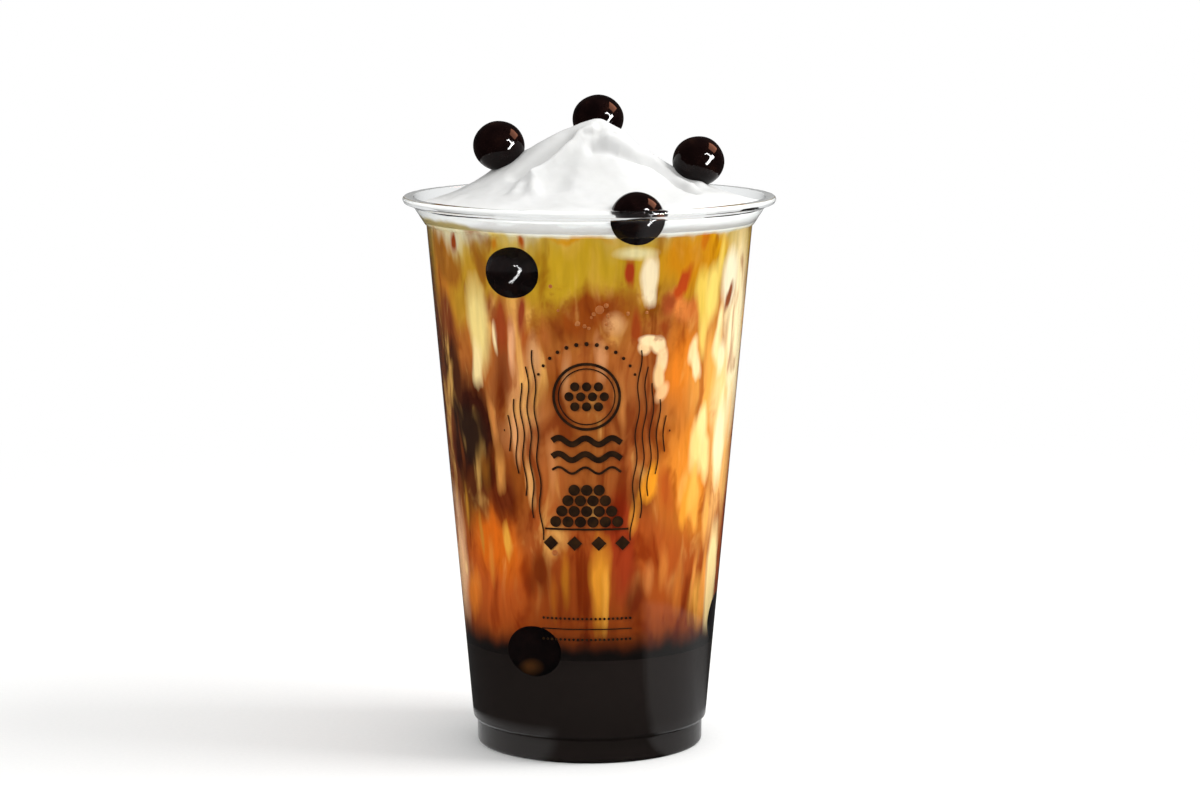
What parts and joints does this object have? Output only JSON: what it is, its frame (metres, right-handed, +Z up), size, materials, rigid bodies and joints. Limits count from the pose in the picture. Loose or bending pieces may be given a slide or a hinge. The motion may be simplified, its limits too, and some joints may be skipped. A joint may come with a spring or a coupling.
{
  "type": "bubble tea",
  "caption": "Brown sugar bubble tea in a clear flared plastic cup: streaked milk tea over dark syrup, under a peaked mound of soft cream with tapioca pearls.",
  "frame": {"origin": "centre of the cup's foot, on the surface that it stands on", "axes": "+Z up along the cup's axis, -Y towards the printed front, +X to the right of it"},
  "size_m": [0.095, 0.095, 0.1659],
  "materials": {
    "clear_plastic": "clear glossy moulded plastic",
    "syrup": "glossy near-black syrup seen through the cup",
    "milk_tea": "streaked amber, brown and cream liquid",
    "cream": "soft white cream, satin",
    "pearl": "wet glossy black-brown"
  },
  "bodies": {
    "root": {"cup": "clear_plastic", "brown_sugar_syrup": "syrup", "milk_tea": "milk_tea", "cream": "cream", "pearl_left": "pearl", "pearl_back": "pearl", "pearl_right": "pearl", "pearl_front": "pearl"}
  },
  "joints": []
}
